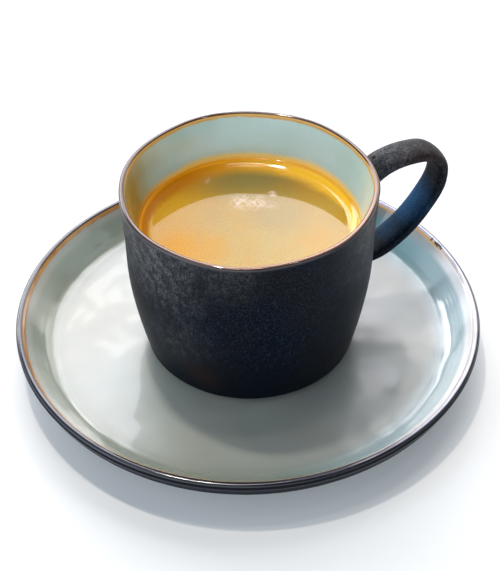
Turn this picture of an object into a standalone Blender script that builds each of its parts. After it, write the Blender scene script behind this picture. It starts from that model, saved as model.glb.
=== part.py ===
"""A cup of americano: a stoneware cup with a strap handle, its saucer and the drink.

Units are metres and +Z is up.  The origin is the centre of the saucer's foot, on the
table, and the handle points along +X.  Every round piece is a profile of (radius, height)
points turned about its own upright axis, then pushed out and in by a few low waves, as
pieces thrown by hand are.
"""
import math

import bmesh
import bpy
import numpy as np

GAP = 0.0003                      # clearance between pieces that touch in life
FOOT_SLOPE = 0.0004               # how much a foot ring narrows on each side, going down

# Saucer
SAUCER_RADIUS = 0.0803
SAUCER_HEIGHT = 0.0162
SAUCER_FLOOR = 0.0056             # upper face where the cup stands
SAUCER_UNDERSIDE = 0.0018
SAUCER_FOOT_OUTER = 0.0470
SAUCER_FOOT_INNER = 0.0425
SAUCER_RIM_ROUND = 0.00135        # radius of the rolled rim
SAUCER_WELL = ((0.0380, 0.0056), (0.0560, 0.0059), (0.0655, 0.0064), (0.0705, 0.0083),
               (0.0742, 0.0118), (0.0775, 0.0154))
SAUCER_BACK = ((0.0799, 0.0138), (0.0782, 0.0101), (0.0733, 0.0056), (0.0630, 0.0029),
               (0.0505, 0.0020))
SAUCER_SEGMENTS = 76

# Cup, with heights from the lower face of its foot ring
CUP_PLACE = (0.0010, 0.0001, SAUCER_FLOOR + GAP)     # a little off the saucer's centre
CUP_HEIGHT = 0.0643
CUP_RADIUS = 0.04235              # at the rim
CUP_RIM_ROUND = 0.0011
CUP_FOOT_OUTER = 0.0322
CUP_FOOT_INNER = 0.0280
CUP_FOOT_HEIGHT = 0.0012
CUP_HEEL_ROUND = 0.0022           # rounded edge between underside and wall
CUP_HEEL_RADIUS = 0.0342
CUP_OUTER_WALL = ((0.0365, 0.0039), (0.0387, 0.0141), (0.0411, 0.0311), (0.0415, 0.0481),
                  (0.0422, 0.0616))
CUP_INNER_WALL = ((0.0401, 0.0629), (0.0383, 0.0563), (0.0366, 0.0503), (0.0362, 0.0381),
                  (0.0346, 0.0221))
CUP_FLOOR = 0.0057
CUP_FLOOR_ROUND = 0.0090
CUP_FLOOR_FLAT = 0.0246           # radius of the level part of the inner floor
CUP_SEGMENTS = 68

# Handle: a flat strap whose middle line lies in the plane of +X and +Z, as (radius, height)
HANDLE_LINE = ((0.0402, 0.0559), (0.0478, 0.0606), (0.0560, 0.0622), (0.0640, 0.0610),
               (0.0685, 0.0565), (0.0689, 0.0508), (0.0636, 0.0391), (0.0549, 0.0293),
               (0.0470, 0.0244), (0.0385, 0.0232))
HANDLE_WIDTH = 0.0116
HANDLE_THICKNESS = 0.0041
HANDLE_RINGS = 38
HANDLE_SIDES = 16
HANDLE_DOME = 2.2                 # roundness exponent of the outer face
HANDLE_FLAT = 4.0                 # and of the flatter face towards the fingers
HANDLE_FLARE = 0.12               # extra size where the strap runs into the wall
HANDLE_FLARE_REACH = 0.0050

# Drink, with heights in the cup
DRINK_LEVEL = 0.0466
CREMA_DEPTH = 0.0025
MENISCUS_RISE = 0.0017            # how far the liquid climbs the wall
MENISCUS_WIDTH = 0.0020

# Waves round each rim: (number of waves, how far, direction of a crest in degrees)
CUP_WAVES = ((1, 0.00019, 141), (2, 0.00016, 58), (3, 0.00016, -12), (4, 0.00008, -17),
             (7, 0.00022, 88))
SAUCER_WAVES = ((2, 0.00010, -10), (3, 0.00006, 14), (4, 0.00020, -35))
WAVE_AT_FOOT = 0.15               # share of the rim's wave that is left at the foot

# Finish of each piece: base colour, roughness
FINISHES = {
    "saucer": ((0.56, 0.62, 0.58), 0.18),
    "cup": ((0.045, 0.050, 0.060), 0.42),
    "coffee": ((0.060, 0.024, 0.010), 0.10),
    "crema": ((0.60, 0.36, 0.13), 0.28),
}


def arc(centre, radius, start, end, steps):
    """Points on an arc of the profile, from start to end in degrees."""
    angles = np.radians(np.linspace(start, end, steps + 1))
    return [(centre[0] + radius * math.cos(a), centre[1] + radius * math.sin(a)) for a in angles]


def through(points, steps):
    """A smooth line through the points, with the given number of steps in each span."""
    knots = np.array(points)
    spans = np.linalg.norm(np.diff(knots, axis=0), axis=1)
    length = np.concatenate([[0.0], np.cumsum(spans)])
    slopes = np.gradient(knots, length, axis=0)
    line = []
    for i, span in enumerate(spans):
        for t in np.arange(steps) / steps:
            rise = t * t * (3 - 2 * t)
            lead = t * (1 - t) ** 2 * span
            trail = t * t * (t - 1) * span
            line.append(knots[i] * (1 - rise) + knots[i + 1] * rise
                        + slopes[i] * lead + slopes[i + 1] * trail)
    line.append(knots[-1])
    return [tuple(point) for point in line]


def wave(angle, waves):
    """How far the rim stands out at this angle about the upright axis."""
    return sum(depth * math.cos(count * (angle - math.radians(crest)))
               for count, depth, crest in waves)


def finish(name):
    """The material of one piece."""
    colour, roughness = FINISHES[name]
    material = bpy.data.materials.new(name)
    material.use_nodes = True
    shader = material.node_tree.nodes["Principled BSDF"]
    shader.inputs["Base Color"].default_value = (*colour, 1.0)
    shader.inputs["Roughness"].default_value = roughness
    return material


def add_object(name, mesh):
    """Link a mesh into the scene as the named piece, smooth but for its real edges."""
    mesh.shade_smooth()
    mesh.set_sharp_from_angle(angle=math.radians(40))
    piece = bpy.data.objects.new(name, mesh)
    bpy.context.collection.objects.link(piece)
    return piece


def mesh_from(shape, name):
    """Turn a finished bmesh into a mesh whose faces point outwards."""
    bmesh.ops.recalc_face_normals(shape, faces=shape.faces)
    mesh = bpy.data.meshes.new(name)
    shape.to_mesh(mesh)
    shape.free()
    return mesh


def turned(name, profile, segments, waves, reach, foot, rim):
    """Turn a profile about +Z and let its waves grow from the foot to the rim.

    The waves have their full depth at the radius reach and the height rim.
    """
    shape = bmesh.new()
    points = [shape.verts.new((radius, 0.0, height)) for radius, height in profile]
    edges = [shape.edges.new(pair) for pair in zip(points, points[1:])]
    bmesh.ops.spin(shape, geom=points + edges, axis=(0, 0, 1), cent=(0, 0, 0),
                   angle=math.tau, steps=segments, use_merge=True)
    bmesh.ops.remove_doubles(shape, verts=shape.verts, dist=1e-6)
    for vert in shape.verts:
        climb = min(max((vert.co.z - foot) / (rim - foot), 0.0), 1.0)
        share = WAVE_AT_FOOT + (1 - WAVE_AT_FOOT) * climb
        stretch = 1 + share * wave(math.atan2(vert.co.y, vert.co.x), waves) / reach
        vert.co.x *= stretch
        vert.co.y *= stretch
    return mesh_from(shape, name)


def saucer_profile():
    """From the middle of the underside, out round the rim, and back to the middle."""
    rim = (SAUCER_RADIUS - SAUCER_RIM_ROUND, SAUCER_HEIGHT - SAUCER_RIM_ROUND)
    foot = [(0.0, SAUCER_UNDERSIDE), (SAUCER_FOOT_INNER - FOOT_SLOPE, SAUCER_UNDERSIDE),
            (SAUCER_FOOT_INNER, 0.0), (SAUCER_FOOT_OUTER, 0.0),
            (SAUCER_FOOT_OUTER + FOOT_SLOPE, SAUCER_UNDERSIDE)]
    back = through(tuple(reversed(SAUCER_BACK)), 2)
    crown = arc(rim, SAUCER_RIM_ROUND, -20, 145, 6)
    well = through(tuple(reversed(SAUCER_WELL)), 2)
    return foot + back + crown + well + [(0.0, SAUCER_FLOOR)]


def cup_inside(inset):
    """The cup's inner face from the lip down to the middle of its floor, moved in by inset."""
    wall = through(CUP_INNER_WALL, 2)
    corner = arc((CUP_FLOOR_FLAT, CUP_FLOOR + CUP_FLOOR_ROUND), CUP_FLOOR_ROUND, -6, -90, 5)
    face = wall + corner
    return [(radius - inset, height + inset) for radius, height in face]


def cup_profile():
    """From the middle of the underside, up the outer wall, and down the inner one."""
    underside = CUP_FOOT_HEIGHT
    foot = [(0.0, underside), (CUP_FOOT_INNER - FOOT_SLOPE, underside), (CUP_FOOT_INNER, 0.0),
            (CUP_FOOT_OUTER, 0.0), (CUP_FOOT_OUTER + FOOT_SLOPE, underside)]
    heel = arc((CUP_HEEL_RADIUS, underside + CUP_HEEL_ROUND), CUP_HEEL_ROUND, -90, -15, 3)
    wall = through(CUP_OUTER_WALL, 2)
    lip = (CUP_RADIUS - CUP_RIM_ROUND, CUP_HEIGHT - CUP_RIM_ROUND)
    rim = arc(lip, CUP_RIM_ROUND, 0, 168, 6)
    return foot + heel + wall + rim + cup_inside(0.0) + [(0.0, CUP_FLOOR)]


def inner_radius(height):
    """The cup's inner radius at a height on the wall."""
    wall = sorted(cup_inside(0.0), key=lambda point: point[1])
    return float(np.interp(height, [z for _, z in wall], [r for r, _ in wall]))


def coffee_profile():
    """The dark coffee under its foam, a gap clear of the cup."""
    top = DRINK_LEVEL - CREMA_DEPTH - GAP
    side = [point for point in cup_inside(GAP) if point[1] < top - GAP]
    edge = (inner_radius(top) - GAP, top)
    return [(0.0, CUP_FLOOR + GAP)] + side[::-1] + [edge, (0.0, top)]


def crema_profile():
    """The thin foam on top, which climbs the wall in a curved edge."""
    bottom = DRINK_LEVEL - CREMA_DEPTH
    top = DRINK_LEVEL + MENISCUS_RISE
    outer = inner_radius(top) - GAP
    side = [(inner_radius(height) - GAP, height) for height in (bottom, DRINK_LEVEL)]
    curve = []
    for t in np.linspace(0.0, 1.0, 5):
        curve.append((outer - MENISCUS_WIDTH * t, DRINK_LEVEL + MENISCUS_RISE * (1 - t) ** 2))
    return [(0.0, bottom)] + side + curve + [(0.0, DRINK_LEVEL)]


def strap_section(size):
    """The strap's cross-section as (across, outwards): a domed face over a flat one."""
    corners = []
    for angle in np.linspace(0.0, math.tau, HANDLE_SIDES, endpoint=False):
        across, out = math.cos(angle), math.sin(angle)
        power = 2 / (HANDLE_DOME if out >= 0 else HANDLE_FLAT)
        corners.append((math.copysign(abs(across) ** power, across) * size * HANDLE_WIDTH / 2,
                        math.copysign(abs(out) ** power, out) * size * HANDLE_THICKNESS / 2))
    return corners


def handle_mesh():
    """The strap, swept along its middle line, with its ends upright inside the wall."""
    fine = np.array(through(HANDLE_LINE, 12))
    steps = np.linalg.norm(np.diff(fine, axis=0), axis=1)
    length = np.concatenate([[0.0], np.cumsum(steps)])
    places = np.linspace(0.0, length[-1], HANDLE_RINGS)
    line = np.stack([np.interp(places, length, fine[:, 0]),
                     np.interp(places, length, fine[:, 1])], axis=1)
    along = np.gradient(line, axis=0)
    along[0] = (1.0, 0.0)
    along[-1] = (-1.0, 0.0)
    along /= np.linalg.norm(along, axis=1)[:, None]
    shape = bmesh.new()
    rings = []
    for place, (radius, height), (run, climb) in zip(places, line, along):
        reach = min(place, length[-1] - place)
        size = 1 + HANDLE_FLARE * math.exp(-reach / HANDLE_FLARE_REACH)
        rings.append([shape.verts.new((radius - climb * out, across, height + run * out))
                      for across, out in strap_section(size)])
    for ring, following in zip(rings, rings[1:]):
        for i in range(HANDLE_SIDES):
            j = (i + 1) % HANDLE_SIDES
            shape.faces.new((ring[i], ring[j], following[j], following[i]))
    shape.faces.new(rings[0])
    shape.faces.new(rings[-1])
    return mesh_from(shape, "handle")


def make_saucer():
    """The saucer, on its foot ring."""
    mesh = turned("saucer", saucer_profile(), SAUCER_SEGMENTS, SAUCER_WAVES,
                  SAUCER_RADIUS, SAUCER_FLOOR, SAUCER_HEIGHT)
    mesh.materials.append(finish("saucer"))
    return add_object("saucer", mesh)


def make_turned_in_cup(name, profile):
    """A piece that shares the cup's axis and its waves."""
    mesh = turned(name, profile, CUP_SEGMENTS, CUP_WAVES, CUP_RADIUS, 0.0, CUP_HEIGHT)
    mesh.materials.append(finish(name))
    piece = add_object(name, mesh)
    piece.location = CUP_PLACE
    return piece


def make_cup():
    """The cup with its handle joined on, as one solid."""
    cup = make_turned_in_cup("cup", cup_profile())
    handle = add_object("handle_guide", handle_mesh())
    handle.location = CUP_PLACE
    handle.hide_render = True
    handle.display_type = "WIRE"
    join = cup.modifiers.new("handle", "BOOLEAN")
    join.operation = "UNION"
    join.solver = "EXACT"
    join.object = handle
    return cup


def main():
    """Build every piece in an empty scene."""
    for stale in list(bpy.data.objects):
        bpy.data.objects.remove(stale)
    make_saucer()
    make_cup()
    make_turned_in_cup("coffee", coffee_profile())
    make_turned_in_cup("crema", crema_profile())


main()
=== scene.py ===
"""Looks of a cup of americano: a glazed stoneware cup, its saucer and the drink.

Sizes are in metres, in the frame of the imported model.  The origin is the centre of the
saucer's foot, +Z is up and the handle points along +X.  The round pieces are profiles of
(radius, height) points turned about an upright axis by Geometry Nodes, the handle is a
swept strap, and every finish is a procedural material.
"""
import logging
import math
from dataclasses import dataclass, field
from enum import Enum

import bpy
import numpy as np
from mathutils import Matrix, Vector
from mathutils.kdtree import KDTree


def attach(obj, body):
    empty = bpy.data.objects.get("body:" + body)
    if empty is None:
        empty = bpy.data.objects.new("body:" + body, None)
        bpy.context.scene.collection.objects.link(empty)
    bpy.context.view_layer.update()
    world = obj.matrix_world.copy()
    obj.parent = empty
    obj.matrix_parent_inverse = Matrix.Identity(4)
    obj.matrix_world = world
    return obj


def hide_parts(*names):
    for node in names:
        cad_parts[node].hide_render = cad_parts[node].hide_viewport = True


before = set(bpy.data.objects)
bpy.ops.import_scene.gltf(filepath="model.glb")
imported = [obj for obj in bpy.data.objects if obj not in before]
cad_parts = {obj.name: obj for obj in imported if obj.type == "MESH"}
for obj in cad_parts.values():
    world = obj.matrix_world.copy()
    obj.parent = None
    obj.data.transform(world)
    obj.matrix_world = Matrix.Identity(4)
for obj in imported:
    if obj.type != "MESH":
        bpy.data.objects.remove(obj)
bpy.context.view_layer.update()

LOG = logging.getLogger("americano")
BODY = "root"
EDGE = "edge"                     # attribute: way along the profile from the rim's crest
FAR_OUTSIDE = -0.03               # its value on the handle, well outside the rim
SAME_PLACE = 1e-6                 # two vertices closer than this are the same one

Colour = tuple[float, float, float]
Point = tuple[float, float]
Place = tuple[float, float, float]
Socket = bpy.types.NodeSocket
Band = tuple[float, float, float, float]


class Easing(Enum):
    """How a mapped number leaves and reaches the ends of its range."""

    SMOOTH = "SMOOTHSTEP"
    LINEAR = "LINEAR"


def tint(*values: int) -> Colour:
    """Linear colour from the display values of red, green and blue, each up to 255."""
    shares = (value / 255 for value in values)
    return tuple(s / 12.92 if s <= 0.04045 else ((s + 0.055) / 1.055) ** 2.4 for s in shares)


def arc(centre: Point, radius: float, start: float, end: float, steps: int) -> list[Point]:
    """Points on an arc of a profile, from a start to an end angle in degrees."""
    angles = np.radians(np.linspace(start, end, steps + 1))
    return [(centre[0] + radius * math.cos(a), centre[1] + radius * math.sin(a)) for a in angles]


def foot_ring(inner: float, outer: float, slope: float, under: float) -> list[Point]:
    """The profile of an underside with its foot ring.

    Args:
        inner: Inner radius of the ring.
        outer: Outer radius of the ring.
        slope: How far its sides lean.
        under: Height of the underside over the ring.

    Returns:
        The points, from the middle to the ring's outer side.
    """
    return [(0.0, under), (inner * 0.5, under), (inner - slope, under), (inner, 0.0),
            (outer, 0.0), (outer + slope, under)]


def way_along(points: np.ndarray) -> np.ndarray:
    """The way along a line, from its first point to each of its points."""
    steps = np.linalg.norm(np.diff(points, axis=0), axis=1)
    return np.concatenate([[0.0], np.cumsum(steps)])


def through(points: tuple[Point, ...], steps: int) -> list[Point]:
    """A smooth line through a few points.

    Args:
        points: The points that the line passes.
        steps: Number of steps in each span.

    Returns:
        The points of the line.
    """
    knots = np.array(points)
    spans = np.linalg.norm(np.diff(knots, axis=0), axis=1)
    slopes = np.gradient(knots, way_along(knots), axis=0)
    line = []
    for i, span in enumerate(spans):
        for t in np.arange(steps) / steps:
            rise = t * t * (3 - 2 * t)
            lead = t * (1 - t) ** 2 * span
            trail = t * t * (t - 1) * span
            line.append(knots[i] * (1 - rise) + knots[i + 1] * rise
                        + slopes[i] * lead + slopes[i + 1] * trail)
    line.append(knots[-1])
    return [(float(point[0]), float(point[1])) for point in line]


class Wiring:
    """Adds nodes to one node tree and links them."""

    def __init__(self, tree: bpy.types.NodeTree) -> None:
        """Keep the tree that the nodes go into."""
        self.tree = tree

    def feed(self, socket: Socket, value: object) -> None:
        """Link a socket to an input, or set the input's own value.

        Args:
            socket: The input socket.
            value: Another socket, or a plain value.
        """
        if isinstance(value, Socket):
            self.tree.links.new(value, socket)
        elif isinstance(value, tuple) and len(value) == 3 and socket.type == "RGBA":
            socket.default_value = (*value, 1.0)
        else:
            socket.default_value = value

    def fill(self, node: bpy.types.Node, inputs: dict) -> None:
        """Feed a node's inputs, by name or number."""
        for name, value in inputs.items():
            self.feed(node.inputs[name], value)

    def node(self, kind: str, inputs: dict | None = None, **settings: object) -> bpy.types.Node:
        """Add one node.

        Args:
            kind: Blender's name of the node type.
            inputs: Values or sockets for its inputs, by name or number.
            settings: Properties of the node itself.

        Returns:
            The new node.
        """
        made = self.tree.nodes.new(kind)
        for name, value in settings.items():
            setattr(made, name, value)
        self.fill(made, inputs or {})
        return made

    def math(self, operation: str, *values: object) -> Socket:
        """Work out one number."""
        return self.node("ShaderNodeMath", dict(enumerate(values)), operation=operation).outputs[0]

    def times(self, first: object, second: object) -> Socket:
        """One number times another."""
        return self.math("MULTIPLY", first, second)

    def plus(self, first: object, second: object) -> Socket:
        """One number plus another."""
        return self.math("ADD", first, second)

    def shaken(self, value: object, pattern: Socket, swing: float) -> Socket:
        """A number moved up and down by a pattern, over a whole swing."""
        return self.plus(value, self.math("MULTIPLY_ADD", pattern, swing, -swing / 2))

    def vector(self, operation: str, *values: object) -> Socket:
        """Work out a vector."""
        made = self.node("ShaderNodeVectorMath", dict(enumerate(values)), operation=operation)
        return made.outputs["Vector"]

    def measure(self, operation: str, *values: object) -> Socket:
        """Work out a number from vectors, such as a length or a dot product."""
        made = self.node("ShaderNodeVectorMath", dict(enumerate(values)), operation=operation)
        return made.outputs["Value"]

    def scaled(self, vector: object, share: Socket) -> Socket:
        """A vector times a number."""
        return self.node("ShaderNodeVectorMath", {0: vector, "Scale": share},
                         operation="SCALE").outputs["Vector"]

    def shape(self, step: str, geometry: Socket, **inputs: object) -> Socket:
        """Pass a geometry through one step of Geometry Nodes."""
        return self.node(f"GeometryNode{step}", {"Geometry": geometry, **inputs}).outputs[0]

    def split(self, vector: Socket) -> bpy.types.NodeOutputs:
        """The three parts of a vector."""
        return self.node("ShaderNodeSeparateXYZ", {0: vector}).outputs

    def span(self, value: object, low: object, high: object, to_low: float = 0.0,
             to_high: float = 1.0, easing: Easing = Easing.SMOOTH) -> Socket:
        """Map a number from one range to another and stop at its ends.

        Args:
            value: The number.
            low: Where the range begins.
            high: Where the range ends.
            to_low: Result at low.
            to_high: Result at high.
            easing: Whether the result eases in and out.

        Returns:
            The socket with the result.
        """
        return self.node("ShaderNodeMapRange", {0: value, 1: low, 2: high, 3: to_low, 4: to_high},
                         interpolation_type=easing.value).outputs[0]

    def band(self, value: Socket, band: Band) -> Socket:
        """Share of a soft-edged band: it rises over its first two numbers, falls over the last."""
        return self.times(self.span(value, *band[:2]), self.span(value, *band[2:], 1.0, 0.0))

    def mix(self, share: object, first: object, second: object) -> Socket:
        """Mix two colours, by the share of the second."""
        made = self.node("ShaderNodeMix", {0: share, 6: first, 7: second}, data_type="RGBA")
        return made.outputs[2]

    def painted(self, base: object, *layers: tuple[object, object]) -> object:
        """Lay colours over a base.

        Args:
            base: The colour underneath.
            layers: The share and the colour of each layer, from the lowest up.

        Returns:
            The colour, or the socket with it.
        """
        for share, colour in layers:
            base = self.mix(share, base, colour)
        return base

    def noise(self, where: object, scale: float, detail: float = 2.0, roughness: float = 0.5,
              bend: float = 0.0) -> Socket:
        """A cloudy pattern of values about 0.5.

        Args:
            where: Position to read it at.
            scale: Lumps per metre.
            detail: Number of finer layers.
            roughness: Strength of the finer layers.
            bend: How much the pattern is pulled about.

        Returns:
            The socket with its value.
        """
        return self.node("ShaderNodeTexNoise",
                         {"Vector": where, "Scale": scale, "Detail": detail,
                          "Roughness": roughness, "Distortion": bend}).outputs[0]

    def bump(self, height: object, depth: float, strength: float = 1.0,
             under: object = None) -> Socket:
        """A normal that follows a fine relief.

        Args:
            height: The relief, from 0 to 1.
            depth: Real depth of the relief in metres.
            strength: Strength of the effect.
            under: A normal that it is laid over.

        Returns:
            The socket with the normal.
        """
        made = self.node("ShaderNodeBump", {"Height": height, "Distance": depth,
                                            "Strength": strength})
        if under is not None:
            self.feed(made.inputs["Normal"], under)
        return made.outputs[0]


class Border(Enum):
    """How a mark fades out: its border's swing, inner and outer radius, in mark radii."""

    SOFT = (1.0, 0.1, 1.0)
    CRISP = (1.2, 0.6, 1.25)


@dataclass(frozen=True)
class Spot:
    """A mark on a surface: a pit or chip with its depth, or an area with its strength."""

    place: Place
    radius: float
    depth: float = 0.0


@dataclass(frozen=True)
class Finish:
    """What every finish has: a name, and the place its pattern is centred on."""

    name: str
    centre: Place = (0.0, 0.0, 0.0)

    def start(self) -> tuple[bpy.types.Material, Wiring, bpy.types.Node, Socket]:
        """Begin a material.

        Returns:
            The material, its wiring, its shader and the position from the piece's centre.
        """
        material = bpy.data.materials.new(self.name)
        material.use_nodes = True
        wire = Wiring(material.node_tree)
        shader = material.node_tree.nodes["Principled BSDF"]
        here = wire.node("ShaderNodeTexCoord").outputs["Object"]
        return material, wire, shader, wire.vector("SUBTRACT", here, self.centre)

    @staticmethod
    def edge(wire: Wiring) -> Socket:
        """The way along the profile from the rim's crest, in metres, inwards positive."""
        return wire.node("ShaderNodeAttribute", attribute_name=EDGE).outputs["Fac"]

    @staticmethod
    def marked(wire: Wiring, where: Socket, marks: tuple[Spot, ...], pattern: Socket,
               border: Border = Border.SOFT) -> Socket:
        """Share of marks or areas, strongest at their middle.

        Args:
            wire: The material's wiring.
            where: Position in the row's frame.
            marks: The marks. A soft one is as strong as its depth.
            pattern: A pattern that makes their borders uneven.
            border: How they fade out.

        Returns:
            The socket with the share.
        """
        swing, inner, outer = border.value
        total: object = 0.0
        for mark in marks:
            away = wire.shaken(wire.measure("DISTANCE", where, mark.place), pattern,
                               swing * mark.radius)
            near = wire.span(away, inner * mark.radius, outer * mark.radius,
                             mark.depth if border is Border.SOFT else 1.0, 0.0)
            total = wire.math("MAXIMUM", near, total)
        return wire.plus(total, 0.0)


@dataclass(frozen=True)
class DarkGlaze(Finish):
    """The charcoal satin glaze outside: mottled, with painted sheen and some wear in lighter grey,
    and painted shade towards the foot.
    """

    deep: Colour = tint(2, 8, 20)
    warm: Colour = tint(12, 11, 14)
    # Lighter grey: painted sheen where light falls, partly wear.
    sheen_and_wear: Colour = tint(110, 109, 110)
    mottle: Colour = tint(40, 54, 70)
    # Brown: the glaze's own in a patch on the body, painted sheen on the handle's top.
    brown_glaze_and_sheen: Colour = tint(44, 28, 24)
    # Blue: a painted reflection on the handle's inner face.
    reflected_blue: Colour = tint(46, 92, 136)
    fleck: Colour = tint(150, 156, 160)
    pit: Colour = tint(12, 10, 9)
    rim: Colour = tint(38, 30, 34)
    rim_to: float = 0.0020
    rim_coat: float = 0.8
    # The mottle fades out below these heights: painted shade towards the foot.
    foot_shade_from: float = 0.012
    foot_shade_to: float = 0.034
    # Spots of painted sheen and wear, of brown, of painted blue reflection, and pits.
    sheen_and_wear_spots: tuple[Spot, ...] = ()
    brown_patches_and_sheen: tuple[Spot, ...] = ()
    painted_blue_reflection: tuple[Spot, ...] = ()
    marks: tuple[Spot, ...] = ()

    def material(self) -> bpy.types.Material:
        """Build the material.

        Returns:
            The finished material.
        """
        material, wire, shader, place = self.start()
        whole = wire.vector("ADD", place, self.centre)
        edge = self.edge(wire)
        clouds = wire.noise(place, 34, 4, 0.6)
        mottle = wire.noise(place, 1700, 4, 0.75)
        grain = wire.noise(place, 3200, 2, 0.6)
        scuffs = wire.noise(wire.vector("MULTIPLY", place, (1.0, 1.0, 0.7)), 1300, 5, 0.8, 0.4)
        # The mottle fades towards the foot: painted shade, darker near the saucer.
        speckled = wire.times(wire.span(mottle, 0.48, 0.62, 0.0, 0.5),
                              wire.span(wire.split(whole)[2], self.foot_shade_from,
                                        self.foot_shade_to, 0.35, 1.0))
        # Painted sheen, partly wear: lighter grey in the given spots, broken up by scuffs.
        sheen_and_wear = self.marked(wire, whole, self.sheen_and_wear_spots, clouds)
        patchy = wire.span(wire.noise(place, 300, 4, 0.7), 0.40, 0.62, 0.30, 0.9)
        scuffed_sheen = wire.times(wire.times(sheen_and_wear, patchy), wire.span(scuffs, 0.38, 0.62, 0.08, 1.0))
        # Brown: a glaze patch on the body and painted sheen on the handle's top.
        brown_patches_and_sheen = wire.times(self.marked(wire, whole, self.brown_patches_and_sheen, clouds),
                             wire.span(mottle, 0.35, 0.65, 0.3, 0.9))
        # Painted blue reflection on the handle's inner face.
        painted_blue_reflection = wire.times(self.marked(wire, whole, self.painted_blue_reflection, clouds),
                           wire.span(mottle, 0.40, 0.60, 0.70, 1.0))
        near_rim = wire.span(edge, -self.rim_to, -self.rim_to * 0.6)
        dust = wire.node("ShaderNodeTexVoronoi", {"Vector": place, "Scale": 150.0})
        fleck = wire.times(wire.span(dust.outputs["Distance"], 0.045, 0.020),
                           wire.span(wire.noise(place, 75, 1), 0.60, 0.64))
        pits = self.marked(wire, whole, self.marks, mottle, Border.CRISP)
        colour = wire.painted(self.deep, (wire.span(clouds, 0.36, 0.66), self.warm),
                              (speckled, self.mottle), (scuffed_sheen, self.sheen_and_wear),
                              (brown_patches_and_sheen, self.brown_glaze_and_sheen), (painted_blue_reflection, self.reflected_blue), (near_rim, self.rim),
                              (wire.times(fleck, 0.7), self.fleck), (pits, self.pit))
        satin = wire.span(mottle, 0.3, 0.7, 0.34, 0.48)
        wire.fill(shader, {
            "Base Color": colour,
            "Roughness": wire.math("MULTIPLY_ADD", near_rim, -0.25, satin),
            "Coat Weight": wire.times(near_rim, self.rim_coat),
            "Specular IOR Level": 0.06,
            "Normal": wire.bump(mottle, 0.00008, 0.5, wire.bump(grain, 0.00003, 0.5))})
        return material


@dataclass(frozen=True)
class RimBreak:
    """The glaze breaking over a rim: bands by distance inwards from the rim's crest."""

    outer: Colour = tint(40, 31, 34)
    # The crest is paler on the side that lit_side points to: a painted highlight.
    crest: Colour = tint(150, 112, 92)
    crest_unlit: Colour = tint(74, 54, 46)
    lit_side: Place = (0.25, -0.97, 0.0)
    line: Colour = tint(58, 36, 27)
    ochre: Colour = tint(204, 152, 64)
    crest_from: float = -0.0006
    crest_to: float = 0.0003
    line_to: float = 0.0008
    ochre_to: float = 0.0015
    fade_to: float = 0.0024
    soft: float = 0.0001
    wander: float = 0.0007
    metal: float = 0.35

    def colour(self, wire: Wiring, heading: Socket, edge: Socket, uneven: Socket,
               inside: object) -> Socket:
        """Lay the rim's bands over the glaze inside.

        Args:
            wire: The material's wiring.
            heading: Direction from the middle, of length 1.
            edge: Distance from the crest.
            uneven: A pattern that shifts the bands.
            inside: Colour of the glaze further in.

        Returns:
            The socket with the colour.
        """
        shifted = wire.shaken(edge, uneven, 2 * self.wander)
        lit = wire.measure("DOT_PRODUCT", heading, self.lit_side)
        # Paler crest towards lit_side: a painted highlight.
        crest = wire.mix(wire.span(lit, -0.1, 0.7), self.crest_unlit, self.crest)
        crested = wire.mix(wire.span(edge, self.crest_from - 2 * self.soft, self.crest_from),
                           self.outer, crest)
        lined = wire.mix(wire.span(edge, self.crest_to - self.soft, self.crest_to + self.soft),
                         crested, self.line)
        broken = wire.mix(wire.span(edge, self.line_to - self.soft, self.line_to + 2 * self.soft),
                          lined, self.ochre)
        return wire.mix(wire.span(shifted, self.ochre_to, self.fade_to), broken, inside)

    def sheen(self, wire: Wiring, edge: Socket) -> Socket:
        """How metallic the rim is: only on its crest."""
        return wire.times(wire.span(edge, self.crest_from - 2 * self.soft, self.crest_from),
                          wire.span(edge, self.crest_to, self.crest_to + 2 * self.soft, self.metal,
                                    0.0))


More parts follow.
